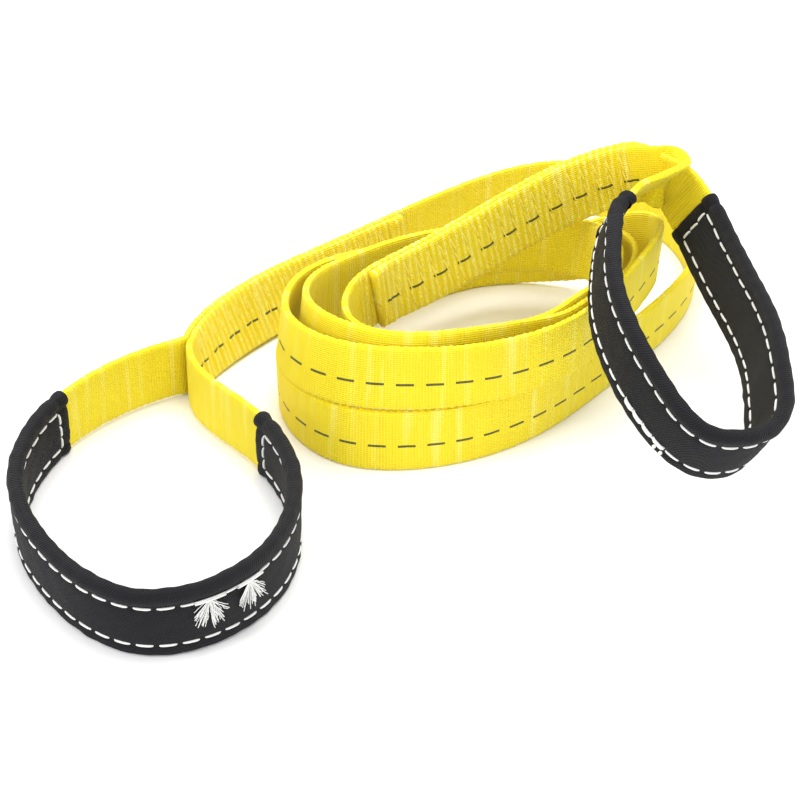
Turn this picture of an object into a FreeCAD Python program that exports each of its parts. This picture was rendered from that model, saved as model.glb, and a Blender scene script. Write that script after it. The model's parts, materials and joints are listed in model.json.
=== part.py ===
import FreeCAD, Part
import math
import os

from FreeCAD import Vector

# Flat-web lifting sling with two sleeved eyes, lying loosely coiled on a level surface.
# Frame: millimetres, +Z up, surface at z = 0, origin under the middle of the sling's bounding box.

doc = FreeCAD.newDocument("web_sling")

# ---------------------------------------------------------------- driving dimensions
SIZES = (
    ("web_width", 25.4),
    ("web_thickness", 2.8),
    ("ply_gap", 0.2),
    ("hinge_gap", 0.3),
    ("bend_gap", 0.7),
    ("crotch_gap", 4.0),
    ("sleeve_width", 28.2),
    ("sleeve_cloth", 0.5),
    ("sleeve_clearance", 0.2),
    ("rim_height", 7.0),
    ("rim_extra", 0.8),
    ("thread_radius", 0.45),
    ("stitch_pitch", 7.7),
    ("stitch_share", 0.82),
    ("rim_row_inset", 6.5),
    ("plain_row_inset", 5.0),
    ("end_row_inset", 5.0),
    ("splice_length", 132.0),
    ("splice_row_pitch", 5.5),
    ("splice_row_margin", 2.6),
    ("splice_thread_radius", 0.35),
    ("tail_length", 158.0),
    ("left_bare_start", 53.0),
    ("left_bare_end", 54.0),
    ("right_bare_start", 36.0),
    ("right_bare_end", 17.0),
    ("first_tuft", 220.0),
    ("second_tuft", 236.0),
    ("backtack_start", 134.0),
    ("shift_x", -0.1),
    ("shift_y", 5.1),
)

sheet = doc.addObject("Spreadsheet::Sheet", "sizes")
for row, (alias, number) in enumerate(SIZES, start=1):
    sheet.set(f"A{row}", alias)
    sheet.set(f"B{row}", str(number))
    sheet.setAlias(f"B{row}", alias)
doc.recompute()


def size(alias):
    """The value of one named cell of the sheet."""
    return float(sheet.get(alias))


WIDTH = size("web_width")
THICK = size("web_thickness")
LAP_OFFSET = -(THICK + size("ply_gap"))
NOSE_RADIUS = THICK + size("ply_gap") / 2
SLEEVE_HALF = THICK / 2 + size("sleeve_clearance") + size("sleeve_cloth")
SHIFT = Vector(size("shift_x"), size("shift_y"), 0)
UP = Vector(0, 0, 1)
SAMPLE = 9.0

# ---------------------------------------------------------------- the lay of the webbing
# Each place is x, y and z of the lower edge, then the lean in degrees: how far the upper
# edge tips towards the left of the direction of travel.
TAIL = (
    (-84, 4, 0, 0),
    (-57, 40, 0, 20),
    (-24, 73, 0, 12),
    (24, 119, 0, 0),
)
OUTER_TURN = (
    (72, 140, 0, 0),
    (109, 122, 0, 2),
    (120.5, 75, 0, 6),
    (110, 48, 0, 5),
    (82, 10, 0, 5),
    (52, -23, 0, 2),
    (12, -43, 0, -4),
    (-24, -40, 0, -5),
    (-41, -21, 0, 2),
    (-46, 5, 0, 0),
    (-34, 35, 0, -6),
    (-6, 57, 0, -6),
    (33, 81, 0, -5),
)
SECOND_TURN = (
    (78, 76, 7, 0),
    (102, 53, 23.5, 3),
    (91, 22, 26, 3),
    (64, -19, 26, 0),
    (30, -37.5, 26, -4),
    (-4, -42, 26, -10),
    (-28, -36, 26, -11),
    (-45, -16, 26, -7),
    (-40, 14, 26, -6),
    (-9, 40, 22, -6),
    (45, 69, 15, -3),
)
THIRD_TURN = (
    (93, 50, 17, 0),
    (87, 25, 17, 0),
    (77, 12, 18, 0),
    (60, -9, 20, -2),
    (47, -20, 24, -4),
    (29, -31, 28, -7),
    (4, -38.2, 30, -10),
    (-22, -31, 30, -11),
    (-38, -12, 30, -8),
    (-37, 2, 29, -4),
    (-28, 16, 27, 0),
)
INNER_TURN = (
    (-14, 28, 26.5, 0),
    (2, 38.5, 26, 0),
    (24, 49, 24, 2),
    (47, 59.5, 22, 4),
    (83, 46, 20, 6),
    (82, 26, 18, 3),
    (72, 13, 18, 0),
    (55, -6, 19, 0),
    (42, -15, 21, 0),
    (8, -29, 24, -4),
    (-19, -16, 26, 0),
)
SPLICE = (
    (-18, -1, 28, 2),
    (6, 18.5, 32, 8),
    (37, 37, 40, 10),
    (74, 57, 50, 8),
    (99, 60, 57, 0),
)
COIL = TAIL + OUTER_TURN + SECOND_TURN + THIRD_TURN + INNER_TURN + SPLICE

LEFT_EYE = (
    (-84, 4, 0, 0),
    (-103, -7, 0, 0),
    (-129, -36, 0, 0),
    (-139, -79, 0, 0),
    (-124, -120, 0, 0),
    (-86, -149, 0, 0),
    (-51, -131, 0, 0),
    (-38, -84, 0, 0),
    (-57, -39, 0, 0),
    (-77, -15, 0, 0),
    (-81.6, 2.2, 0, 0),
)
RIGHT_EYE = (
    (99.4, 57, 57, 20),
    (95, 53, 60, 38),
    (84, 45, 61, 39),
    (77, 26, 55.5, 20),
    (73, -3, 55, 16),
    (72, -28, 52.7, 14),
    (77, -53, 47, 11),
    (86.5, -72, 39, 4),
    (108, -85.5, 28, -19),
    (122, -78, 26, -28),
    (127.5, -56, 30.4, -27),
    (128.6, -30, 32.5, -22),
    (125, -4, 33, -20),
    (117, 25, 37, -21),
    (108, 49, 47, -14),
    (99.5, 60, 57, 0),
)


class Ribbon:
    """A strip on its way through space. Its ribs stand across it at even distances."""

    def __init__(self, places):
        points = [Vector(x, y, z) + SHIFT for x, y, z, lean in places]
        marks = [0.0]
        for a, b in zip(points, points[1:]):
            marks.append(marks[-1] + a.distanceToPoint(b))
        leans = [Vector(mark, place[3], 0) for mark, place in zip(marks, places)]
        self.path = Part.BSplineCurve()
        self.path.interpolate(Points=points, Parameters=marks)
        self.lean = Part.BSplineCurve()
        self.lean.interpolate(Points=leans, Parameters=marks)
        self.length = self.path.length()

    def rib(self, distance):
        """Foot of the rib, direction of travel, direction up the rib and its left-hand normal."""
        mark = self.path.parameterAtDistance(distance, self.path.FirstParameter)
        foot = self.path.value(mark)
        along = self.path.tangent(mark)[0]
        left = UP.cross(along)
        left.normalize()
        tilt = math.radians(self.lean.value(mark).y)
        foot.z = max(foot.z, 0) + THICK / 2 * abs(math.sin(tilt))
        rise = UP * math.cos(tilt) + left * math.sin(tilt)
        rise = rise - along * rise.dot(along)
        rise.normalize()
        return foot, along, rise, rise.cross(along)

    def ribs(self, start, end, spacing=SAMPLE):
        count = max(3, round((end - start) / spacing))
        return [self.rib(start + (end - start) * i / count) for i in range(count + 1)]

    def point(self, distance, height, offset):
        foot, along, rise, left = self.rib(distance)
        return foot + rise * height + left * offset


def skin(rail, other):
    """Straight-ruled face between two rails that share their knots."""
    poles = [list(pair) for pair in zip(rail.getPoles(), other.getPoles())]
    knots = rail.getKnots()
    repeats = rail.getMultiplicities()
    surface = Part.BSplineSurface()
    surface.buildFromPolesMultsKnots(poles, repeats, [2, 2], knots, [0, 1], False, False, rail.Degree, 1)
    return surface.toShape()


def skinned(ribs, corners):
    """Long solid carried along the ribs; every corner is (height up the rib, offset to its left)."""
    steps = [float(i) for i in range(len(ribs))]
    rails = []
    for height, offset in corners:
        rail = Part.BSplineCurve()
        points = [foot + rise * height + left * offset for foot, along, rise, left in ribs]
        rail.interpolate(Points=points, Parameters=steps)
        rails.append(rail)
    faces = [skin(a, b) for a, b in zip(rails, rails[1:] + rails[:1])]
    for tips in ([rail.StartPoint for rail in rails], [rail.EndPoint for rail in rails]):
        faces.append(Part.Face(Part.makePolygon(tips + tips[:1])))
    shell = Part.makeShell(faces)
    shell.sewShape()
    solid = Part.makeSolid(shell)
    if solid.Volume < 0:
        solid.reverse()
    return solid


def swept(ribs, corners):
    """Short solid carried along the ribs, with the same meaning of corners."""
    sections = []
    for foot, along, rise, left in ribs:
        points = [foot + rise * height + left * offset for height, offset in corners]
        sections.append(Part.makePolygon(points + points[:1]))
    return Part.makeLoft(sections, True, False)


def band(low, high, right, left):
    """Corners of a flat strip between two heights and two offsets."""
    return ((low, right), (high, right), (high, left), (low, left))


def ply(offset=0.0, low=0.0):
    return band(low, low + WIDTH, offset - THICK / 2, offset + THICK / 2)


def sleeve_outline():
    """Outside of the sleeve: thin at the plain edge, thicker and rounded off at the rolled rim."""
    top = size("sleeve_width")
    full = SLEEVE_HALF + size("rim_extra")
    side = ((0, 0.7 * SLEEVE_HALF), (1, SLEEVE_HALF), (top - size("rim_height"), SLEEVE_HALF))
    side += ((top - size("rim_height") + 1.5, full), (top - 1.5, full), (top, 0.6 * full))
    return [(height, -offset) for height, offset in side] + list(reversed(side))


def keep(name, shape):
    """One sub-part whose shape is made from the sheet's sizes."""
    part = doc.addObject("Part::Feature", name)
    part.Label = name
    part.Shape = shape
    part.Placement = FreeCAD.Placement()
    return part


def post(foot, radius, low, high):
    """Round upright at an axis about which the webbing bends."""
    return Part.makeCylinder(radius, high - low, Vector(foot.x, foot.y, low), UP)


def thread(a, b, radius):
    return Part.makeCylinder(radius, a.distanceToPoint(b), a, b - a)


def sleeve_stitches(ribbon, start, end):
    """Two rows along the sleeve and one across each end, showing on both faces."""
    radius = size("thread_radius")
    span = size("stitch_pitch") * size("stitch_share")
    rim_row = size("sleeve_width") - size("rim_row_inset")
    rows = ((size("plain_row_inset"), SLEEVE_HALF), (rim_row, SLEEVE_HALF + size("rim_extra") / 3))
    first = start + size("end_row_inset")
    last = end - size("end_row_inset")
    count = round((last - first) / size("stitch_pitch"))
    pitch = (last - first) / count
    threads = []
    for face in (-1, 1):
        for height, half in rows:
            for i in range(count):
                at = first + pitch * i
                a = ribbon.point(at, height, face * half)
                b = ribbon.point(at + span, height, face * half)
                threads.append(thread(a, b, radius))
        for at in (first, last):
            for i in range(3):
                low = rows[0][0] + 5.4 * i
                a = ribbon.point(at, low, face * SLEEVE_HALF)
                b = ribbon.point(at, low + 4.6, face * SLEEVE_HALF)
                threads.append(thread(a, b, radius))
    return Part.makeCompound(threads)


def splice_stitches(ribbon, start, direction):
    """Slanting rows of thread across both faces of a splice."""
    radius = size("splice_thread_radius")
    margin = size("splice_row_margin")
    count = int((size("splice_length") - 8) / size("splice_row_pitch"))
    threads = []
    for i in range(count):
        at = start + direction * (5 + size("splice_row_pitch") * i)
        for face in (LAP_OFFSET - THICK / 2, THICK / 2):
            a = ribbon.point(at, margin, face)
            b = ribbon.point(at + direction * 1.4, WIDTH - margin, face)
            threads.append(thread(a, b, radius))
    return Part.makeCompound(threads)


def solid_of(shape):
    """The single solid left by a boolean."""
    return max(shape.Solids, key=lambda solid: solid.Volume)


# ---------------------------------------------------------------- coil and tail
coil = Ribbon(COIL)
tail_end = size("tail_length")
gap = size("hinge_gap")
bend_gap = size("bend_gap")
splice = size("splice_length")

tail_axis = coil.point(tail_end, 0, 0)
left_axis = coil.point(0, 0, LAP_OFFSET / 2)
right_axis = coil.point(coil.length, 0, LAP_OFFSET / 2)
left_clear = post(left_axis, NOSE_RADIUS + gap, -5, 50)
right_clear = post(right_axis, NOSE_RADIUS + gap, 51, 110)

web = skinned(coil.ribs(tail_end + bend_gap, coil.length), ply())
keep("coil_webbing", solid_of(web.cut(right_clear)))

lap = swept(coil.ribs(coil.length - splice, coil.length), ply(LAP_OFFSET))
keep("right_splice_lap", solid_of(lap.cut(right_clear)))
keep("right_splice_stitching", splice_stitches(coil, coil.length - 3, -1))

web = swept(coil.ribs(0, tail_end - bend_gap), ply())
keep("tail_webbing", solid_of(web.cut(left_clear)))

lap = swept(coil.ribs(0, splice), ply(LAP_OFFSET))
keep("left_splice_lap", solid_of(lap.cut(left_clear)))
keep("left_splice_stitching", splice_stitches(coil, 3, 1))

# ---------------------------------------------------------------- left eye, standing on its edge
left_eye = Ribbon(LEFT_EYE)
left_start = size("left_bare_start")
left_stop = left_eye.length - size("left_bare_end")
edge = (size("sleeve_width") - WIDTH) / 2


def strip_outline(sketch, ribbon, start, end, half):
    """Draws both faces of a strip seen from above and joins them at the ends."""
    sides = []
    for offset in (-half, half):
        side = Part.BSplineCurve()
        side.interpolate([foot + left * offset for foot, along, rise, left in ribbon.ribs(start, end)])
        sides.append(side)
        sketch.addGeometry(side, False)
    for end_name in ("StartPoint", "EndPoint"):
        a = getattr(sides[0], end_name)
        b = getattr(sides[1], end_name)
        sketch.addGeometry(Part.LineSegment(a, b), False)


def flat_sketch(body, name):
    sketch = body.newObject("Sketcher::SketchObject", name)
    plane = [item for item in body.Origin.OriginFeatures if item.Role == "XY_Plane"][0]
    sketch.AttachmentSupport = [(plane, "")]
    sketch.MapMode = "FlatFace"
    return sketch


def pad(body, sketch, length):
    feature = body.newObject("PartDesign::Pad", sketch.Name + "_pad")
    feature.Profile = sketch
    feature.setExpression("Length", length)
    return feature


left_web = doc.addObject("PartDesign::Body", "left_eye_webbing")
left_web.Label = "left_eye_webbing"
profile = flat_sketch(left_web, "left_eye_strip")
strip_outline(profile, left_eye, 0.5, left_eye.length - 0.5, THICK / 2)
pad(left_web, profile, "sizes.web_width")
profile = flat_sketch(left_web, "left_eye_crotch")
profile.addGeometry(Part.Circle(left_axis, UP, NOSE_RADIUS), False)
pad(left_web, profile, "sizes.web_width")
left_web.Placement = FreeCAD.Placement(Vector(0, 0, edge), FreeCAD.Rotation())

left_sleeve = doc.addObject("PartDesign::Body", "left_sleeve")
left_sleeve.Label = "left_sleeve"
profile = flat_sketch(left_sleeve, "left_sleeve_skin")
strip_outline(profile, left_eye, left_start, left_stop, SLEEVE_HALF)
pad(left_sleeve, profile, "sizes.sleeve_width")
profile = flat_sketch(left_sleeve, "left_sleeve_rim")
strip_outline(profile, left_eye, left_start, left_stop, SLEEVE_HALF + size("rim_extra"))
rim = pad(left_sleeve, profile, "sizes.rim_height")
profile.AttachmentOffset.Base = Vector(0, 0, size("sleeve_width") - size("rim_height"))
profile.setExpression("AttachmentOffset.Base.z", "sizes.sleeve_width - sizes.rim_height")
profile = flat_sketch(left_sleeve, "left_sleeve_cavity")
cavity_half = THICK / 2 + size("sleeve_clearance")
strip_outline(profile, left_eye, left_start - 2, left_stop + 2, cavity_half)
profile.setExpression("AttachmentOffset.Base.z", "sizes.sleeve_cloth + 0.2")
cavity = left_sleeve.newObject("PartDesign::Pocket", "left_sleeve_cavity_cut")
cavity.Profile = profile
cavity.Reversed = True
cavity.setExpression("Length", "sizes.sleeve_width - 2 * sizes.sleeve_cloth - 0.4")

keep("left_sleeve_stitching", sleeve_stitches(left_eye, left_start, left_stop))


def tuft(ribbon, distance, strands, spread):
    """Loose thread ends hanging in a fan from the rim row on the outer face."""
    face = -SLEEVE_HALF
    root = ribbon.point(distance, 21, face - 0.9)
    joined = Part.makeSphere(0.5, root)
    for i in range(strands):
        reach = spread * (i / (strands - 1) - 0.5)
        middle = ribbon.point(distance + reach * 0.5, 16, face - 2.2)
        tip = ribbon.point(distance + reach, 10.5 + 1.3 * (i % 3), face - 3.0)
        for strand in (thread(root, middle, 0.3), Part.makeSphere(0.3, middle), thread(middle, tip, 0.3)):
            joined = joined.fuse(strand)
    return joined


tufts = [tuft(left_eye, size(alias), 5, 13) for alias in ("first_tuft", "second_tuft")]
keep("left_thread_tufts", Part.makeCompound(tufts))

# ---------------------------------------------------------------- right eye, hanging over the coil
right_eye = Ribbon(RIGHT_EYE)
right_start = size("right_bare_start")
right_stop = right_eye.length - size("right_bare_end")

near = size("crotch_gap")
web = skinned(right_eye.ribs(near, right_eye.length - near, 5.0), ply(0, edge))
keep("right_eye_webbing", web)

ribs = right_eye.ribs(right_start, right_stop, 6.0)
outside = swept(ribs, sleeve_outline())
ribs = right_eye.ribs(right_start - 2, right_stop + 2, 6.0)
inset = edge - size("sleeve_clearance")
half = THICK / 2 + size("sleeve_clearance")
inside = swept(ribs, band(inset, size("sleeve_width") - inset, -half, half))
keep("right_sleeve", solid_of(outside.cut(inside)))
keep("right_sleeve_stitching", sleeve_stitches(right_eye, right_start, right_stop))

threads = []
for i in range(4):
    at = size("backtack_start") + 6 * i
    for height in (4.8, 5.9):
        a = right_eye.point(at, height, -SLEEVE_HALF - 0.4)
        b = right_eye.point(at + 5.4, height + 0.3, -SLEEVE_HALF - 0.4)
        threads.append(thread(a, b, 0.5))
keep("right_backtack", Part.makeCompound(threads))

# ---------------------------------------------------------------- checks and files
doc.recompute()
os.makedirs("parts", exist_ok=True)
NODES = [item for item in doc.Objects if item.TypeId in ("PartDesign::Body", "Part::Feature")]
box = FreeCAD.BoundBox()
for node in NODES:
    bad = "Invalid" in node.State or "Error" in node.State
    if bad or node.Shape.isNull() or not node.Shape.isValid():
        raise RuntimeError(f"{node.Label} did not build")
    node.Shape.exportStep(f"parts/{node.Label}.step")
    box.add(node.Shape.BoundBox)
print("overall box", box)
print("hinge axes", tail_axis, left_axis, right_axis)
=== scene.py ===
import json
import math

import bpy
import numpy as np
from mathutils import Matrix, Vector


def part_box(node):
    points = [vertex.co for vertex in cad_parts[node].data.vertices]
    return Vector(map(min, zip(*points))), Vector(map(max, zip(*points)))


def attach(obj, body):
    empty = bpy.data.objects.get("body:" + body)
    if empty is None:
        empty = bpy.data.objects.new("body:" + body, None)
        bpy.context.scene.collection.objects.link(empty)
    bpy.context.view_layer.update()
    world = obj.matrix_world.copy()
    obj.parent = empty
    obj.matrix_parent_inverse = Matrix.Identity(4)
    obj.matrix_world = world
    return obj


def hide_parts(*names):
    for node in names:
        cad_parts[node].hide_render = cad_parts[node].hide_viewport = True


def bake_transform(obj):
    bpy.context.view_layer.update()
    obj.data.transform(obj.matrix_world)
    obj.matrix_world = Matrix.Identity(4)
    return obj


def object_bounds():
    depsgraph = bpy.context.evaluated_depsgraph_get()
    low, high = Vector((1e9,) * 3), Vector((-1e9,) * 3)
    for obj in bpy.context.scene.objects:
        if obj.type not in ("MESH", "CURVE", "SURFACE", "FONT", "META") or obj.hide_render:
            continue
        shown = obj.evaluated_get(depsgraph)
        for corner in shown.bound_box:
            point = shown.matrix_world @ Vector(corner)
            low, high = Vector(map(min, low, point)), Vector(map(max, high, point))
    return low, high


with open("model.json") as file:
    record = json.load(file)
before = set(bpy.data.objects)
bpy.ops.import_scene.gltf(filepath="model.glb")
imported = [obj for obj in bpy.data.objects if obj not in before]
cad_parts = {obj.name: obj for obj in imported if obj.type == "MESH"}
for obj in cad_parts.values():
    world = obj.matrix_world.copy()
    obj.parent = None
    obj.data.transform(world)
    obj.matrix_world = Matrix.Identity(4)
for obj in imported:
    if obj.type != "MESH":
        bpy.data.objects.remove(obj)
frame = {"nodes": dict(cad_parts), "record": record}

START_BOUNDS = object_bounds()
MM = 0.001

# Sizes of the sling
THICK = 2.8 * MM  # one ply of webbing
PITCH = 7.7 * MM  # from one sleeve stitch to the next
RIB = 5.5 * MM  # from one row of splice stitches to the next
LAP_TRIM = 7 * MM  # left off the free end of each folded-back lap
ROW_INSET = 5 * MM  # from an end of a sleeve to its cross rows

# Heights on a sleeve above its plain edge, in millimetres
SLEEVE_WIDTH = 28.2
SLEEVE_MIDDLE = 14.1
PLAIN_ROW = 5.0
RIM_ROW = 21.6
STITCH_ROWS = (PLAIN_ROW, RIM_ROW)

# Fineness
STEP = 0.8 * MM  # between cross sections of webbing and sleeves
CREASE = 0.97  # two triangles whose normals agree less than this meet in a crease
OUTLINE_STEP = 0.25 * MM
TURN_REACH = 4  # outline steps either way over which a corner is measured
CORNER_REACH = 30  # outline steps round a corner that hold no second corner
EDGE_STEP = 1.0 * MM

rng = np.random.default_rng(11)
NODES = frame["nodes"]


# ------------------------------------------------------------------ edge lines of a CAD strip
def unit(v):
    return v / np.maximum(np.linalg.norm(v, axis=-1, keepdims=True), 1e-12)


def welded(node):
    """Corner positions and triangles of a CAD node, with coincident corners joined."""
    mesh = NODES[node].data
    co = np.array([v.co[:] for v in mesh.vertices])
    points, index = np.unique(np.round(co, 6), axis=0, return_inverse=True)
    index = index.reshape(-1)
    mesh.calc_loop_triangles()
    faces = index[np.array([t.vertices[:] for t in mesh.loop_triangles])]
    distinct = (faces[:, 0] != faces[:, 1]) & (faces[:, 1] != faces[:, 2]) & (faces[:, 2] != faces[:, 0])
    return points, faces[distinct]


def smooth_patches(points, faces):
    """Groups of triangles that meet without a crease, largest first."""
    a, b, c = (points[faces[:, i]] for i in range(3))
    cross = np.cross(b - a, c - a)
    area = np.linalg.norm(cross, axis=1) / 2
    normal = unit(cross)
    parent = list(range(len(faces)))

    def root(i):
        while parent[i] != i:
            parent[i] = parent[parent[i]]
            i = parent[i]
        return i

    seen = {}
    for i, face in enumerate(faces):
        for p, q in ((face[0], face[1]), (face[1], face[2]), (face[2], face[0])):
            key = (min(p, q), max(p, q))
            if key in seen:
                j = seen[key]
                if normal[i] @ normal[j] > CREASE:
                    parent[root(i)] = root(j)
            else:
                seen[key] = i
    groups = {}
    for i in range(len(faces)):
        groups.setdefault(root(i), []).append(i)
    return sorted(groups.values(), key=lambda group: -area[group].sum())


def outline(faces):
    """Corners round the border of a patch, in order."""
    count = {}
    for face in faces:
        for p, q in ((face[0], face[1]), (face[1], face[2]), (face[2], face[0])):
            key = (min(p, q), max(p, q))
            count[key] = count.get(key, 0) + 1
    near = {}
    for (p, q), times in count.items():
        if times == 1:
            near.setdefault(p, set()).add(q)
            near.setdefault(q, set()).add(p)
    best = []
    for start in list(near):
        loop = [start]
        while near[loop[-1]]:
            ahead = near[loop[-1]].pop()
            near[ahead].discard(loop[-1])
            loop.append(ahead)
        if len(loop) > len(best):
            best = loop
    return best[:-1] if best[0] == best[-1] else best


def arc(points):
    return np.concatenate([[0.0], np.cumsum(np.linalg.norm(np.diff(points, axis=0), axis=1))])


def evenly(points, count):
    s = arc(points)
    at = np.linspace(0, s[-1], count)
    return np.column_stack([np.interp(at, s, points[:, i]) for i in range(3)])


def edge_lines(node):
    """Lower and upper edge of a CAD strip, midway between its two faces."""
    points, faces = welded(node)
    sides = []
    for group in smooth_patches(points, faces)[:2]:
        loop = points[outline(faces[group])]
        loop = evenly(np.vstack([loop, loop[:1]]), int(arc(loop)[-1] / OUTLINE_STEP))[:-1]
        ahead = unit(np.roll(loop, -TURN_REACH, 0) - loop)
        behind = unit(loop - np.roll(loop, TURN_REACH, 0))
        turn = np.einsum("ij,ij->i", ahead, behind)
        corners = []
        while len(corners) < 4:
            sharpest = int(np.argmin(turn))
            corners.append(sharpest)
            around = range(sharpest - CORNER_REACH, sharpest + CORNER_REACH + 1)
            turn[[i % len(loop) for i in around]] = 2
        corners.sort()
        chains = []
        for k in range(4):
            first, last = corners[k], corners[(k + 1) % 4]
            span = (last - first) % len(loop)
            chains.append(loop[[(first + i) % len(loop) for i in range(span + 1)]])
        chains = sorted(chains, key=lambda chain: -arc(chain)[-1])[:2]
        low, high = sorted(chains, key=lambda chain: chain[:, 2].mean())
        sides.append((low, high[::-1]))
    (low_a, high_a), (low_b, high_b) = sides
    if np.linalg.norm(low_a[0] - low_b[0]) > np.linalg.norm(low_a[0] - low_b[-1]):
        low_b, high_b = low_b[::-1], high_b[::-1]
    count = max(8, int(arc(low_a)[-1] / EDGE_STEP))
    low = (evenly(low_a, count) + evenly(low_b, count)) / 2
    high = (evenly(high_a, count) + evenly(high_b, count)) / 2
    return low, high


def facing(lines, start):
    """The same lines, turned so that the end nearer to a point comes first."""
    low, high = lines
    tenth = len(low) // 10
    if np.linalg.norm(low[tenth] - start) > np.linalg.norm(low[-1 - tenth] - start):
        return low[::-1], high[::-1]
    return low, high


RECORDED = frame["record"]["behaviour"]["joints"]
JOINTS = {joint["name"]: np.array(joint["pos_m"], float) for joint in RECORDED}
LEFT = JOINTS["left_eye_swing"]
RIGHT = JOINTS["right_eye_swing"]
BACK = JOINTS["tail_swing"]
LEFT_BOX = [np.array(corner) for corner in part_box("left_eye_webbing")]
RIGHT_BOX = [np.array(corner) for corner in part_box("right_eye_webbing")]


# ------------------------------------------------------------------ the whole sling as one ribbon
class Ribbon:
    """Stations along the sling: centre, direction, way up and outer normal, at even distances."""

    def __init__(self, parts):
        self.marks = []
        lows, highs = [], []
        total = 0.0
        for low, high in parts:
            if lows:
                total += np.linalg.norm((low[0] + high[0] - lows[-1][-1] - highs[-1][-1]) / 2)
            begin = total
            total += arc((low + high) / 2)[-1]
            self.marks.append((begin, total))
            lows.append(low)
            highs.append(high)
        low = np.vstack(lows)
        high = np.vstack(highs)
        s = arc((low + high) / 2)
        keep = np.concatenate([[True], np.diff(s) > 1e-5])
        s, low, high = s[keep], low[keep], high[keep]
        self.length = s[-1]
        count = int(self.length / STEP)
        self.s = np.linspace(0, self.length, count)
        low = np.column_stack([np.interp(self.s, s, low[:, i]) for i in range(3)])
        high = np.column_stack([np.interp(self.s, s, high[:, i]) for i in range(3)])
        low, high = self.eased(low), self.eased(high)
        self.centre = (low + high) / 2
        self.along = unit(np.gradient(self.centre, axis=0))
        rise = high - low
        rise -= self.along * np.einsum("ij,ij->i", rise, self.along)[:, None]
        self.up = unit(rise)
        self.out = np.cross(self.up, self.along)

    @staticmethod
    def eased(line):
        reach = 3
        weights = np.exp(-0.5 * (np.arange(-3 * reach, 3 * reach + 1) / reach) ** 2)
        weights /= weights.sum()
        padded = np.vstack([line[:1]] * 3 * reach + [line] + [line[-1:]] * 3 * reach)
        return np.column_stack([np.convolve(padded[:, i], weights, "valid") for i in range(3)])

    def at(self, s):
        """Centre, direction, way up and outer normal at one or more distances."""
        out = []
        where = np.atleast_1d(s)
        for field in (self.centre, self.along, self.up, self.out):
            out.append(np.column_stack([np.interp(where, self.s, field[:, i]) for i in range(3)]))
        return out

    def nearest(self, point, low, high):
        """Distance along the sling, between two others, that is closest to a point."""
        inside = (self.s >= low) & (self.s <= high)
        gap = np.linalg.norm(self.centre[inside] - point, axis=1)
        return self.s[inside][np.argmin(gap)]


left_lap = facing(edge_lines("left_splice_lap"), LEFT)
left_lap = (left_lap[0][::-1], left_lap[1][::-1])
left_loop = facing(edge_lines("left_eye_webbing"), np.array([LEFT_BOX[1][0], -0.03, 0]))
tail = facing(edge_lines("tail_webbing"), LEFT)
coil = facing(edge_lines("coil_webbing"), BACK)
right_loop = facing(edge_lines("right_eye_webbing"), np.array([RIGHT_BOX[1][0], 0.0, 0.05]))
right_lap = facing(edge_lines("right_splice_lap"), RIGHT)
sling = Ribbon([left_lap, left_loop, tail, coil, right_loop, right_lap])
LAP_L, EYE_L, TAIL, COIL, EYE_R, LAP_R = sling.marks
WIDTH = float(np.linalg.norm(coil[1] - coil[0], axis=1).mean())


def ends_of(node, low, high):
    """Where a CAD node on one eye starts and stops along the sling."""
    co = np.array([v.co[:] for v in NODES[node].data.vertices])
    sample = co[:: max(1, len(co) // 1500)]
    hits = [sling.nearest(point, low, high) for point in sample]
    return float(np.percentile(hits, 1)), float(np.percentile(hits, 99))


SPAN_L = ends_of("left_sleeve", *EYE_L)
SPAN_R = ends_of("right_sleeve", *EYE_R)


# ------------------------------------------------------------------ meshes
def add_mesh(name, verts, faces, uv=None, attributes=None, material=None):
    mesh = bpy.data.meshes.new(name)
    mesh.from_pydata([tuple(v) for v in verts], [], faces)
    if uv is not None:
        layer = mesh.uv_layers.new(name="lay")
        flat = np.array([l.vertex_index for l in mesh.loops])
        layer.data.foreach_set("uv", np.asarray(uv, float)[flat].reshape(-1))
    for key, values in (attributes or {}).items():
        field = mesh.attributes.new(key, "FLOAT", "POINT")
        field.data.foreach_set("value", np.asarray(values, np.float32))
    mesh.polygons.foreach_set("use_smooth", [True] * len(mesh.polygons))
    mesh.update()
    obj = bpy.data.objects.new(name, mesh)
    bpy.context.scene.collection.objects.link(obj)
    if material:
        mesh.materials.append(material)
    return obj


def ring_faces(rings, size, close_ends=True):
    faces = []
    for r in range(rings - 1):
        for k in range(size):
            n = (k + 1) % size
            faces.append((r * size + k, r * size + n, (r + 1) * size + n, (r + 1) * size + k))
    if close_ends:
        faces.append(tuple(range(size))[::-1])
        faces.append(tuple((rings - 1) * size + k for k in range(size)))
    return faces


def wander(s, period, seed):
    """Smooth irregular wave between about -1 and 1."""
    local = np.random.default_rng(seed)
    total = np.zeros_like(s)
    for k in range(5):
        rate = 2 * math.pi / (period * local.uniform(0.75, 1.45))
        total += np.sin(s * rate + local.uniform(0, 6.28)) * local.uniform(0.5, 1.0)
    return total / 3.0


def stitched(s):
    """1 inside a splice, 0 outside, for places along the sling."""
    length = LAP_L[1] - LAP_L[0]
    bare = 3 * MM
    value = np.zeros_like(s)
    value[(s < LAP_L[1] - bare)] = 1
    value[(s > LAP_R[0] + bare)] = 1
    value[(s > TAIL[0] + bare) & (s < TAIL[0] + length)] = 1
    value[(s > COIL[1] - length) & (s < COIL[1] - bare)] = 1
    return value


def splice_phase(s):
    """Distance from the crotch for places in a splice, so that rows on both plies line up."""
    anchors = (LAP_L[1], TAIL[0], COIL[1], LAP_R[0])
    gaps = np.array([np.abs(s - anchor) for anchor in anchors])
    return gaps.min(0)


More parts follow.
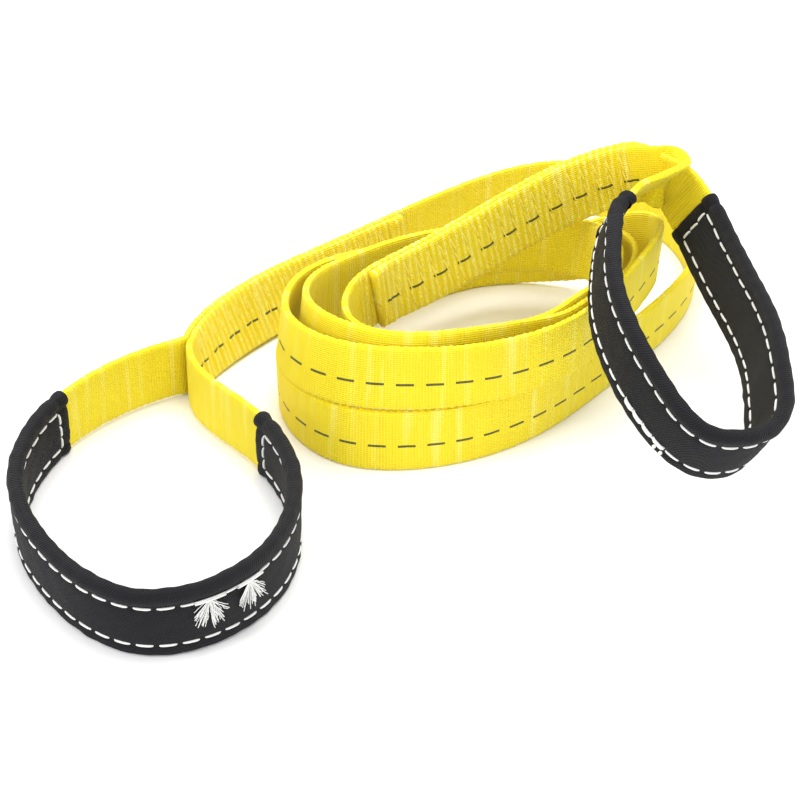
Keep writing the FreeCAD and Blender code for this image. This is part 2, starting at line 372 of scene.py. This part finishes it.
def web_section():
    """Round the webbing: place across it (-0.5 to 0.5), face (1 outer, -1 inner) and edge bulge."""
    across = 16
    section = [(-0.5 + k / across, 1.0, 0.0) for k in range(across + 1)]
    for k in (1, 2, 3):
        angle = math.pi / 2 - k * math.pi / 4
        section.append((0.5, math.sin(angle), math.cos(angle)))
    section += [(0.5 - k / across, -1.0, 0.0) for k in range(across + 1)]
    for k in (1, 2, 3):
        angle = -math.pi / 2 - k * math.pi / 4
        section.append((-0.5, math.sin(angle), math.cos(angle)))
    return section


SECTION = web_section()
EDGE_BULGE = 0.8  # of half the thickness
VALLEY_REACH = 1.0 * MM  # half length of the dip that a row of splice stitches pulls in
VALLEY_DEPTH = 0.9 * MM
SPLICE_PUFF = 0.42 * MM  # how far the webbing stands up between those rows
SCALLOP_PITCH = 2.9 * MM  # waves along both edges
UNEVEN = 9 * MM  # length over which the weave varies
COVERED_SHRINK = 0.12 * MM  # thinner inside a sleeve
FOLD_LENGTH = 6.5 * MM  # turned-in end of a lap
FOLD_RISE = 1.1 * MM


def strap(name, start, end, closed=(True, True)):
    """A length of webbing: soft edges, uneven weave and stitch valleys."""
    count = max(4, int(round((end - start) / STEP)))
    s = np.linspace(start, end, count + 1)
    centre, _, up, out = sling.at(s)
    half = THICK / 2
    flat = WIDTH / 2 - half * EDGE_BULGE
    seam = stitched(s)
    phase = splice_phase(s)
    valley = np.exp(-((np.mod(phase + RIB / 2, RIB) - RIB / 2) / VALLEY_REACH) ** 2)
    sag = seam * (SPLICE_PUFF - VALLEY_DEPTH * valley)
    scallop = 0.16 * MM * np.sin(s * 2 * math.pi / SCALLOP_PITCH) + 0.12 * MM * wander(s, UNEVEN, 3)
    in_left = (s > SPAN_L[0]) & (s < SPAN_L[1])
    in_right = (s > SPAN_R[0]) & (s < SPAN_R[1])
    covered = (in_left | in_right) & (seam == 0)
    free = np.minimum(s - LAP_TRIM, sling.length - LAP_TRIM - s)
    fold = FOLD_RISE * np.clip((FOLD_LENGTH - free) / (0.8 * MM), 0, 1)
    verts, uv, face, sewn, row = [], [], [], [], []
    for width_at, side, edge in SECTION:
        selvedge = np.sign(width_at) * scallop * (abs(width_at) > 0.4)
        h = width_at * 2 * flat + edge * half * EDGE_BULGE + selvedge
        swell = wander(s + 37 * MM * side, UNEVEN, 5) * 0.14 * MM * (1 - (2 * width_at) ** 2 * 0.6)
        swell = np.where(covered, -COVERED_SHRINK, swell)
        if side > 0:
            swell = swell + fold
        middle_share = 1 - abs(2 * width_at) ** 8
        o = side * (half + swell + sag * middle_share * 0.8)
        verts.append(centre + up * h[:, None] + out * o[:, None])
        uv.append(np.column_stack([s, h / WIDTH + 0.5]))
        face.append(np.full_like(s, side))
        sewn.append(seam)
        row.append(phase * 1000)
    size = len(SECTION)
    verts = np.stack(verts, 1).reshape(-1, 3)
    uv = np.stack(uv, 1).reshape(-1, 2)
    fields = {"outer": face, "sewn": sewn, "row": row}
    fields = {key: np.stack(value, 1).reshape(-1) for key, value in fields.items()}
    faces = [f[::-1] for f in ring_faces(len(s), size, False)]
    if closed[0]:
        faces.append(tuple(range(size)))
    if closed[1]:
        faces.append(tuple((len(s) - 1) * size + k for k in range(size))[::-1])
    return add_mesh(name, verts, faces, uv, fields, WEBBING)


# ------------------------------------------------------------------ materials
def node_material(name):
    material = bpy.data.materials.new(name)
    material.use_nodes = True
    tree = material.node_tree
    tree.nodes.clear()
    out = tree.nodes.new("ShaderNodeOutputMaterial")
    shader = tree.nodes.new("ShaderNodeBsdfPrincipled")
    tree.links.new(shader.outputs[0], out.inputs[0])
    return material, tree, shader


def maths(tree, operation, a, b=None, c=None):
    node = tree.nodes.new("ShaderNodeMath")
    node.operation = operation
    for slot, value in enumerate((a, b, c)):
        if value is None:
            continue
        if isinstance(value, (int, float)):
            node.inputs[slot].default_value = value
        else:
            tree.links.new(value, node.inputs[slot])
    return node.outputs[0]


def blend_colour(tree, factor, a, b):
    node = tree.nodes.new("ShaderNodeMix")
    node.data_type = "RGBA"
    for key, value in ((0, factor), (6, a), (7, b)):
        if isinstance(value, (int, float)):
            node.inputs[key].default_value = value
        elif isinstance(value, tuple):
            node.inputs[key].default_value = (*value, 1)
        else:
            tree.links.new(value, node.inputs[key])
    return node.outputs[2]


def lay_axes(tree):
    """Distance along the strip in millimetres, and place across it as a share of the width."""
    coords = tree.nodes.new("ShaderNodeUVMap")
    coords.uv_map = "lay"
    split = tree.nodes.new("ShaderNodeSeparateXYZ")
    tree.links.new(coords.outputs[0], split.inputs[0])
    along = maths(tree, "MULTIPLY", split.outputs[0], 1000.0)
    return along, split.outputs[1]


def noise(tree, vector, scale, detail=2.0):
    node = tree.nodes.new("ShaderNodeTexNoise")
    node.inputs["Scale"].default_value = scale
    node.inputs["Detail"].default_value = detail
    if vector is not None:
        tree.links.new(vector, node.inputs["Vector"])
    return node.outputs[0]


def combine(tree, x, y, z=0.0):
    node = tree.nodes.new("ShaderNodeCombineXYZ")
    for key, value in enumerate((x, y, z)):
        if isinstance(value, (int, float)):
            node.inputs[key].default_value = value
        else:
            tree.links.new(value, node.inputs[key])
    return node.outputs[0]


def ripple(tree, value, period):
    """Sine wave over a distance in millimetres."""
    return maths(tree, "SINE", maths(tree, "MULTIPLY", value, 2 * math.pi / period))


def drawn_noise(tree, along, wide, along_rate, wide_rate, detail):
    """Noise drawn out along or across the strip."""
    x = maths(tree, "MULTIPLY", along, along_rate)
    y = maths(tree, "MULTIPLY", wide, wide_rate)
    return noise(tree, combine(tree, x, y), 1.0, detail)


def attribute(tree, name):
    node = tree.nodes.new("ShaderNodeAttribute")
    node.attribute_name = name
    return node.outputs["Fac"]


def tune(shader, settings):
    for key, value in settings.items():
        shader.inputs[key].default_value = value


def bumped(tree, shader, height, strength, distance):
    bump = tree.nodes.new("ShaderNodeBump")
    bump.inputs["Strength"].default_value = strength
    bump.inputs["Distance"].default_value = distance
    tree.links.new(height, bump.inputs["Height"])
    tree.links.new(bump.outputs[0], shader.inputs["Normal"])


def marker_yarn(tree, along, wide, outer):
    """1 on the dashes of dark yarn that show on the outer face."""
    period, share, half_width, place_across = 11.0, 0.6, 0.5, 0.42
    off = maths(tree, "ABSOLUTE", maths(tree, "SUBTRACT", wide, place_across * WIDTH * 1000))
    on_line = maths(tree, "LESS_THAN", off, half_width)
    beat = maths(tree, "FRACT", maths(tree, "DIVIDE", along, period))
    on_dash = maths(tree, "LESS_THAN", beat, share)
    dash = maths(tree, "MULTIPLY", on_line, on_dash)
    return maths(tree, "MULTIPLY", dash, maths(tree, "GREATER_THAN", outer, 0.9))


def webbing_material():
    """Yellow plain weave with painted sheen bands and light streaks that are painted highlights, ribs in the
    splices with painted highlights and painted shade, and a dashed dark yarn.
    """
    # Lighter yellow for the painted sheen bands
    light = (0.93, 0.80, 0.010)
    base = (0.88, 0.70, 0.005)
    # Darker yellow for painted shade in the grooves of the weave
    deep = (0.62, 0.40, 0.002)
    pale = (0.96, 0.88, 0.10)
    # Whitish yellow for painted highlights
    highlight_yellow = (0.98, 0.93, 0.30)
    # Darker yellow for painted shade between the stitch ribs of the splices
    rib_gap_yellow = (0.72, 0.50, 0.003)
    marker = (0.015, 0.03, 0.022)
    warp_pitch, weft_pitch, rib_pitch = 0.85, 1.15, 2.75
    material, tree, shader = node_material("webbing")
    along, across = lay_axes(tree)
    wide = maths(tree, "MULTIPLY", across, WIDTH * 1000)
    outer = attribute(tree, "outer")
    warp = ripple(tree, wide, warp_pitch)
    weft = ripple(tree, along, weft_pitch)
    grain = drawn_noise(tree, along, wide, 1.6, 3.2, 3)
    # Painted sheen: crosswise bands of lighter yellow stand in for light catching the undulating weave
    sheen_bands = drawn_noise(tree, along, wide, 0.16, 0.03, 2)
    blotch = drawn_noise(tree, along, wide, 0.05, 0.08, 2)
    relief = maths(tree, "ADD", maths(tree, "MULTIPLY", warp, 0.5), maths(tree, "MULTIPLY", weft, 0.35))
    colour = blend_colour(tree, sheen_bands, base, light)
    # Painted shade in the grooves of the weave, darker where the relief dips, plus random grain mottling
    weave_shade_and_grain = maths(tree, "MULTIPLY_ADD", relief, -0.22, 0.16)
    weave_shade_and_grain = maths(tree, "ADD", weave_shade_and_grain, maths(tree, "MULTIPLY_ADD", grain, 0.5, -0.25))
    weave_shade_and_grain = maths(tree, "MAXIMUM", weave_shade_and_grain, 0.0)
    colour = blend_colour(tree, weave_shade_and_grain, colour, deep)
    colour = blend_colour(tree, maths(tree, "MULTIPLY", blotch, 0.12), colour, pale)
    # Painted highlights: crosswise streaks of shine on the webbing
    streak = drawn_noise(tree, along, wide, 0.22, 0.012, 3)
    shine = maths(tree, "MAXIMUM", maths(tree, "SUBTRACT", streak, 0.53), 0.0)
    shine = maths(tree, "MULTIPLY", shine, 3.2)
    shine = maths(tree, "MULTIPLY", shine, maths(tree, "MULTIPLY_ADD", relief, 0.45, 0.6))
    sewn = attribute(tree, "sewn")
    row = attribute(tree, "row")
    lean = maths(tree, "MULTIPLY", wide, 0.12)
    ribs = ripple(tree, maths(tree, "ADD", row, lean), rib_pitch)
    flecks = drawn_noise(tree, along, wide, 0.5, 0.75, 1)
    ridge = maths(tree, "ADD", ribs, maths(tree, "MULTIPLY_ADD", flecks, 3.4, -1.9))
    ridge = maths(tree, "MAXIMUM", ridge, 0.0)
    ridge = maths(tree, "MULTIPLY", ridge, sewn)
    # Painted highlights on the crests of the stitch ribs in the splices
    shine = maths(tree, "ADD", shine, maths(tree, "MULTIPLY", ridge, 0.5))
    shine = maths(tree, "MINIMUM", shine, 0.85)
    colour = blend_colour(tree, shine, colour, highlight_yellow)
    # Painted shade in the gaps between the stitch ribs of the splices
    rib_gap_shade = maths(tree, "MAXIMUM", maths(tree, "MULTIPLY", ribs, -0.35), 0.0)
    rib_gap_shade = maths(tree, "MULTIPLY", rib_gap_shade, sewn)
    colour = blend_colour(tree, rib_gap_shade, colour, rib_gap_yellow)
    dash = marker_yarn(tree, along, wide, outer)
    colour = blend_colour(tree, maths(tree, "MULTIPLY", dash, 0.9), colour, marker)
    tree.links.new(colour, shader.inputs["Base Color"])
    tune(shader, {
        "Roughness": 0.62,
        "Specular IOR Level": 0.3,
        "Sheen Weight": 0.06,
        "Sheen Roughness": 0.4,
        "Subsurface Weight": 0.12,
        "Subsurface Radius": (0.003, 0.0015, 0.0003),
    })
    height = maths(tree, "ADD", relief, maths(tree, "MULTIPLY", grain, 0.8))
    height = maths(tree, "ADD", height, maths(tree, "MULTIPLY", streak, 6.0))
    height = maths(tree, "ADD", height, maths(tree, "MULTIPLY", ridge, 1.2))
    bumped(tree, shader, height, 0.7, 0.00035)
    return material


def sleeve_material():
    """Black twill, lighter on its ridges as painted light, with random mottling."""
    black = (0.0015, 0.0015, 0.002)
    # Lighter black, for painted light on the twill ridges and for random mottling
    sheen_and_mottle_black = (0.011, 0.011, 0.014)
    twill_pitch, cross_pitch = 1.0, 0.9
    material, tree, shader = node_material("sleeve")
    along, across = lay_axes(tree)
    wide = maths(tree, "MULTIPLY", across, SLEEVE_WIDTH)
    slant = maths(tree, "ADD", along, maths(tree, "MULTIPLY", wide, 0.9))
    twill = ripple(tree, slant, twill_pitch)
    cross = ripple(tree, wide, cross_pitch)
    grain = noise(tree, combine(tree, along, wide), 2.2, 3)
    relief = maths(tree, "ADD", twill, maths(tree, "MULTIPLY", cross, 0.35))
    # Painted light: lighter on the twill ridges, plus random grain mottling
    tint = maths(tree, "MULTIPLY_ADD", relief, 0.22, 0.3)
    tint = maths(tree, "ADD", tint, maths(tree, "MULTIPLY", grain, 0.45))
    colour = blend_colour(tree, tint, black, sheen_and_mottle_black)
    tree.links.new(colour, shader.inputs["Base Color"])
    tune(shader, {
        "Roughness": 0.8,
        "Specular IOR Level": 0.25,
        "Sheen Weight": 0.04,
        "Sheen Roughness": 0.4,
    })
    bumped(tree, shader, maths(tree, "ADD", relief, grain), 0.8, 0.00022)
    return material


def thread_material(name, bright, dim, rough):
    """Spun thread, mottled between two tones."""
    material, tree, shader = node_material(name)
    coords = tree.nodes.new("ShaderNodeTexCoord")
    fibre = noise(tree, coords.outputs["Object"], 2600.0, 3)
    colour = blend_colour(tree, fibre, dim, bright)
    tree.links.new(colour, shader.inputs["Base Color"])
    tune(shader, {"Roughness": rough})
    bumped(tree, shader, fibre, 0.5, 0.0002)
    return material


WEBBING = webbing_material()
SLEEVE = sleeve_material()
WHITE = thread_material("white_thread", (0.93, 0.93, 0.91), (0.62, 0.62, 0.60), 0.6)
GOLD = thread_material("splice_thread", (0.97, 0.88, 0.20), (0.85, 0.66, 0.03), 0.55)


# ------------------------------------------------------------------ webbing pieces
def fastened(obj, body, node):
    """Puts a piece on a body and in the place of a CAD node."""
    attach(obj, body)
    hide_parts(node)
    return obj


def bending(name, start, end, a, b):
    """A length of webbing round a turn of the sling, baked in place; the two bodies a and b are not used."""
    obj = strap(name, start, end, (False, False))
    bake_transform(obj)


NEAR = 6 * MM  # reach of a crotch's bend into the splice
FAR = 9 * MM  # reach of a crotch's bend into the eye
SOFT = 12 * MM  # reach of the tail's bend, either way
BACK_AT = (TAIL[1] + COIL[0]) / 2
TURNS = [
    (LAP_L[1] - NEAR, EYE_L[0] + FAR),
    (EYE_L[1] - FAR, TAIL[0] + NEAR),
    (BACK_AT - SOFT, BACK_AT + SOFT),
    (COIL[1] - NEAR, EYE_R[0] + FAR),
    (EYE_R[1] - FAR, LAP_R[0] + NEAR),
]
LAP_END = sling.length - LAP_TRIM
OPEN = (False, False)
STRAPS = (
    ("left_lap", LAP_TRIM, TURNS[0][0], (True, False), "tail", "left_splice_lap"),
    ("left_eye_strap", TURNS[0][1], TURNS[1][0], OPEN, "left_eye", "left_eye_webbing"),
    ("tail_strap", TURNS[1][1], TURNS[2][0], OPEN, "tail", "tail_webbing"),
    ("coil_strap", TURNS[2][1], TURNS[3][0], OPEN, "coil", "coil_webbing"),
    ("right_eye_strap", TURNS[3][1], TURNS[4][0], OPEN, "right_eye", "right_eye_webbing"),
    ("right_lap", TURNS[4][1], LAP_END, (False, True), "coil", "right_splice_lap"),
)
for name, start, end, closed, body, node in STRAPS:
    fastened(strap(name, start, end, closed), body, node)
bending("left_front_bend", *TURNS[0], "tail", "left_eye")
bending("left_back_bend", *TURNS[1], "left_eye", "tail")
bending("tail_bend", *TURNS[2], "tail", "coil")
bending("right_back_bend", *TURNS[3], "coil", "right_eye")
bending("right_front_bend", *TURNS[4], "right_eye", "coil")


# ------------------------------------------------------------------ sleeves
PLAIN_ROUND = 1.6  # height over which the plain edge rounds off, in mm like all sizes here
RIM_RADIUS = 3.05
RIM_CENTRE = 25.15
BODY_HALF = 2.1
ROW_PINCH = 0.42  # how far a stitch row pulls the cloth in
RIM_START = 21.8
LEAST_HALF = 1.82  # keeps the cloth clear of the webbing
LEAST_EDGE = 0.12


def sleeve_half(h):
    """Half thickness of the sleeve at a height above its plain edge, in millimetres."""
    if h < PLAIN_ROUND:
        return 0.35 + 1.75 * math.sqrt(max(0.0, 1 - ((PLAIN_ROUND - h) / PLAIN_ROUND) ** 2))
    roll = RIM_RADIUS ** 2 - (h - RIM_CENTRE) ** 2
    rim = math.sqrt(roll) if roll > 0 else 0.0
    between_rows = min(1, max(0, (h - PLAIN_ROW) / (RIM_ROW - PLAIN_ROW)))
    body = BODY_HALF + 0.3 * math.sin(math.pi * between_rows)
    for row in STITCH_ROWS:
        body -= ROW_PINCH * math.exp(-((h - row) / 0.9) ** 2)
    if h < RIM_START:
        return body
    return max(rim, body * max(0.0, 1 - (h - RIM_START) / 2.0))


HEIGHTS = [0.0, 0.25, 0.8, 1.6, 2.6, 3.6, 4.3, 4.7, 5.0, 5.3, 5.8, 6.8, 8.4, 10.2, 12, 14, 16, 18, 19.6]
HEIGHTS += [20.6, 21.2, 21.6, 22.0, 22.5, 23.2, 24.1, 25.1, 26.1, 27.0, 27.6, 28.0, 28.19]

# Rings of cloth turned in at a sleeve's ends: share kept of the thickness and of the height, and depth in mm
LIPS = ((0.96, 0.995, -0.25), (0.86, 0.97, -0.1), (0.8, 0.97, 0.5), (0.79, 0.97, 4.0))


def turned_in(ring, station, sign, centre, along, up, out):
    """The cloth at one end of a sleeve, drawn in round the webbing."""
    offset = ring - centre[station]
    local_out = offset @ out[station]
    local_up = offset @ up[station]
    lips = []
    for thin, low, depth in LIPS:
        lip = centre[station] + np.outer(local_up * low, up[station])
        lip = lip + np.outer(local_out * thin, out[station]) + along[station] * sign * depth * MM
        lips.append(lip)
    return lips


def sleeve(name, start, end, body, node):
    """Cloth folded round the webbing with a rolled rim, puckered by its stitches."""
    count = int((end - start) / STEP)
    s = np.linspace(start, end, count + 1)
    centre, along, up, out = sling.at(s)
    loop = [(h, 1) for h in HEIGHTS] + [(h, -1) for h in HEIGHTS[::-1]]
    beat = np.cos((s - start - ROW_INSET) * 2 * math.pi / PITCH)
    slow = wander(s, 26 * MM, 21)
    edge = np.minimum(s - start, end - s)
    lip = 0.35 * np.exp(-((edge - 1.2 * MM) / (1.4 * MM)) ** 2)
    lip = lip - 0.55 * np.exp(-((edge - 5 * MM) / (1.0 * MM)) ** 2)
    verts, uv = [], []
    for h, side in loop:
        half = sleeve_half(h)
        rim = min(1, max(0, (h - 20.5) / 3))
        plain = min(1, max(0, (6.5 - h) / 3))
        swell = -0.07 * beat * rim - 0.08 * beat * plain
        swell = swell + 0.22 * slow * math.sin(math.pi * h / SLEEVE_WIDTH)
        swell = swell + 0.16 * wander(s + 11 * MM * side, 13 * MM, int(h * 4) // 12 + 31)
        least = LEAST_HALF if 1.2 < h < 27.2 else LEAST_EDGE
        thick = np.maximum(half + (swell + lip) * min(1, half / 1.5), least)
        wave = 0.25 * wander(s, 23 * MM, 41) * rim - 0.05 * beat * rim
        lift = (h - SLEEVE_MIDDLE + wave + 0.25 * wander(s, 12 * MM, 43) * plain) * MM
        verts.append(centre + up * lift[:, None] + out * (side * thick * MM)[:, None])
        uv.append(np.column_stack([s, np.full_like(s, h / SLEEVE_WIDTH)]))
    rings = np.stack(verts, 1)
    marks = np.stack(uv, 1)
    first = turned_in(rings[0], 0, 1, centre, along, up, out)
    last = turned_in(rings[-1], -1, -1, centre, along, up, out)
    rings = np.concatenate([np.array(first[::-1]), rings, np.array(last)])
    extra = len(LIPS)
    marks = np.concatenate([np.repeat(marks[:1], extra, 0), marks, np.repeat(marks[-1:], extra, 0)])
    faces = [f[::-1] for f in ring_faces(len(rings), len(loop), False)]
    obj = add_mesh(name, rings.reshape(-1, 3), faces, marks.reshape(-1, 2), None, SLEEVE)
    fastened(obj, body, node)


sleeve("left_eye_sleeve", *SPAN_L, "left_eye", "left_sleeve")
sleeve("right_eye_sleeve", *SPAN_R, "right_eye", "right_sleeve")


# ------------------------------------------------------------------ threads
class Threads:
    """Collects round threads into one mesh."""

    def __init__(self):
        self.verts = []
        self.faces = []

    def add(self, path, radius, sides=8):
        path = np.asarray(path, float)
        radii = np.broadcast_to(np.asarray(radius, float), (len(path),))
        along = unit(np.gradient(path, axis=0))
        guide = np.array([0.123, 0.351, 0.928])  # a direction that no thread follows
        first = unit(np.cross(along, guide))
        second = np.cross(along, first)
        base = sum(len(v) for v in self.verts)
        angle = np.linspace(0, 2 * math.pi, sides, endpoint=False)
        ring = first[:, None] * np.cos(angle)[None, :, None]
        ring = ring + second[:, None] * np.sin(angle)[None, :, None]
        ring = path[:, None] + ring * radii[:, None, None]
        self.verts.append(ring.reshape(-1, 3))
        faces = ring_faces(len(path), sides)
        self.faces += [tuple(base + i for i in f) for f in faces]

    def done(self, name, material):
        return add_mesh(name, np.vstack(self.verts), self.faces, None, None, material)


def surface_point(s, h, o):
    """Point of the sling's ribbon at a height above the sleeve's plain edge and an offset, in mm."""
    centre, _, up, out = (field[0] for field in sling.at(s))
    return centre + up * (h - SLEEVE_MIDDLE) * MM + out * o * MM


def stitch_path(s0, h0, s1, h1, side, lift=0.25):
    """A stitch lies on the cloth and dives into it at both ends."""
    path, radii = [], []
    for t in np.linspace(0, 1, 9):
        s = s0 + (s1 - s0) * t
        h = h0 + (h1 - h0) * t
        rise = lift - 0.9 * abs(2 * t - 1) ** 6
        path.append(surface_point(s, h, side * (sleeve_half(h) + rise)))
        radii.append((0.5 - 0.16 * abs(2 * t - 1) ** 4) * MM)
    return path, radii


def sleeve_stitching(name, start, end, body, node):
    """Two long rows on each face of a sleeve, closed by a short cross row at each end."""
    stitch_from, stitch_to = 0.07, 0.93
    cross_start, cross_pitch, cross_length = 5.2, 5.5, 5.0
    threads = Threads()
    first, last = start + ROW_INSET, end - ROW_INSET
    count = int(round((last - first) / PITCH))
    pitch = (last - first) / count
    for side in (-1, 1):
        for row in STITCH_ROWS:
            for i in range(count):
                jitter = rng.normal(0, 0.12, 2)
                s0 = first + pitch * (i + stitch_from)
                s1 = first + pitch * (i + stitch_to)
                threads.add(*stitch_path(s0, row + jitter[0], s1, row + jitter[1], side))
        for at in (first, last):
            for i in range(3):
                low = cross_start + cross_pitch * i
                skew = rng.normal(0, 0.25) * MM
                threads.add(*stitch_path(at, low, at + skew, low + cross_length, side, 0.05))
    fastened(threads.done(name, WHITE), body, node)


sleeve_stitching("left_rows", *SPAN_L, "left_eye", "left_sleeve_stitching")
sleeve_stitching("right_rows", *SPAN_R, "right_eye", "right_sleeve_stitching")


def splice_rows(name, crotch_a, way_a, crotch_b, way_b, body, node):
    """Thread laid across the outside of both plies of a splice."""
    bottom, part_pitch, part_length = -9.6, 6.5, 6.2
    slant = 0.9 * MM
    threads = Threads()
    length = LAP_L[1] - LAP_L[0] - LAP_TRIM
    count = int((length - 8 * MM) / RIB)
    for crotch, way, side in ((crotch_a, way_a, 1), (crotch_b, way_b, -1)):
        for i in range(1, count + 1):
            at = crotch + way * i * RIB
            for part in range(3):
                path = []
                low = bottom + part_pitch * part + rng.normal(0, 0.15)
                for t in np.linspace(0, 1, 7):
                    centre, _, up, out = (field[0] for field in sling.at(at + (t - 0.5) * slant))
                    sink = 1.15 - 0.5 * abs(2 * t - 1) ** 4
                    height = (low + part_length * t) * MM
                    path.append(centre + up * height + out * side * sink * MM)
                threads.add(path, 0.34 * MM, 6)
    fastened(threads.done(name, GOLD), body, node)


splice_rows("left_splice_rows", LAP_L[1], -1, TAIL[0], 1, "tail", "left_splice_stitching")
splice_rows("right_splice_rows", LAP_R[0], 1, COIL[1], -1, "coil", "right_splice_stitching")


def tufts():
    """Frayed ends of white thread hanging off the rim row."""
    strands, knots = 60, 3
    threads = Threads()
    co = np.array([v.co[:] for v in NODES["left_thread_tufts"].data.vertices])
    between = co[:, 0].mean()
    for tuft in (co[co[:, 0] < between], co[co[:, 0] >= between]):
        top = tuft[np.argmax(tuft[:, 2])]
        root = sling.nearest(top - np.array([0, 0, 7 * MM]), *EYE_L)
        for _ in range(strands):
            spread = rng.uniform(-6.0, 6.0)
            drop = rng.uniform(5.5, 11.5) - abs(spread) * 0.35
            lift = rng.uniform(0.4, 3.0)
            path = []
            for t in np.linspace(0, 1, 8):
                curl = rng.normal(0, 0.16)
                s = root + (spread * t ** 1.3 + curl) * MM
                h = 21.8 - drop * t + 0.8 * math.sin(3 * t)
                path.append(surface_point(s, h, 2.4 + lift * t ** 0.8 + curl * 0.6))
            threads.add(path, 0.16 * MM, 5)
        for i in range(knots):
            h, o = 21.4 + 0.4 * i, 2.6 + 0.5 * (i % 2)
            path = [surface_point(root + k * MM, h, o) for k in np.linspace(-6, 5, 9)]
            threads.add(path, 0.4 * MM, 7)
    fastened(threads.done("loose_threads", WHITE), "left_eye", "left_thread_tufts")


def backtack():
    """Doubled stitches where the plain row was finished off."""
    threads = Threads()
    low, high = ends_of("right_backtack", *EYE_R)
    count = 4
    for i in range(count):
        s0 = low + (high - low) * i / count
        s1 = low + (high - low) * (i + 0.9) / count
        for h in (4.7, 5.7):
            path, radii = stitch_path(s0, h, s1, h + 0.2, 1, 0.7)
            threads.add(path, np.array(radii) * 1.1)
    for s in (low, low + 3 * MM):
        path = [surface_point(s, 4.4 - k, 2.9 + 0.2 * k) for k in np.linspace(0, 1.6, 5)]
        threads.add(path, np.array([0.3, 0.7, 0.8, 0.7, 0.2]) * MM)
    obj = threads.done("finishing_stitches", WHITE)
    fastened(obj, "right_eye", "right_backtack")


tufts()
backtack()


# ------------------------------------------------------------------ surroundings
def stage_material():
    material, tree, shader = node_material("floor")
    coords = tree.nodes.new("ShaderNodeTexCoord")
    mottle = noise(tree, coords.outputs["Object"], 3.0, 2)
    colour = blend_colour(tree, mottle, (0.90, 0.90, 0.90), (0.94, 0.94, 0.94))
    tree.links.new(colour, shader.inputs["Base Color"])
    tune(shader, {"Roughness": 0.6})
    return material


bpy.ops.mesh.primitive_plane_add(size=12, location=(0, 0, 0))
floor = bpy.context.object
floor.name = "floor"
floor.data.materials.append(stage_material())

world = bpy.data.worlds.new("sky")
bpy.context.scene.world = world
world.use_nodes = True
world.node_tree.nodes["Background"].inputs[0].default_value = (1, 1, 1, 1)
world.node_tree.nodes["Background"].inputs[1].default_value = 0.85


def area_light(name, place_at, aim, size, power):
    data = bpy.data.lights.new(name, "AREA")
    data.shape = "DISK"
    data.size = size
    data.energy = power
    lamp = bpy.data.objects.new(name, data)
    lamp.location = place_at
    lamp.rotation_euler = (Vector(aim) - Vector(place_at)).to_track_quat("-Z", "Y").to_euler()
    bpy.context.scene.collection.objects.link(lamp)


area_light("top", (0.1, 0.25, 1.3), (0, 0, 0), 1.1, 16)
area_light("left", (-1.0, -0.5, 0.8), (0, 0, 0), 0.8, 7)
area_light("front", (0.5, -1.1, 0.5), (0, 0, 0.03), 0.8, 4)

low, high = (np.array(corner) for corner in START_BOUNDS)
AIM_PAST = 0.0051  # the camera aims this far behind the middle of the floor plan
LENS = 114.75
target = np.array([(low[0] + high[0]) / 2, (low[1] + high[1]) / 2 + AIM_PAST, 0.0])
elevation = math.radians(36)
camera_data = bpy.data.cameras.new("camera")
camera_data.lens = LENS
camera_data.sensor_width = 36
camera = bpy.data.objects.new("camera", camera_data)
camera.location = Vector(target) + Vector((0, -math.cos(elevation), math.sin(elevation)))
camera.rotation_euler = (math.pi / 2 - elevation, 0, 0)
bpy.context.scene.collection.objects.link(camera)
bpy.context.scene.camera = camera
bpy.context.scene.view_settings.view_transform = "Standard"
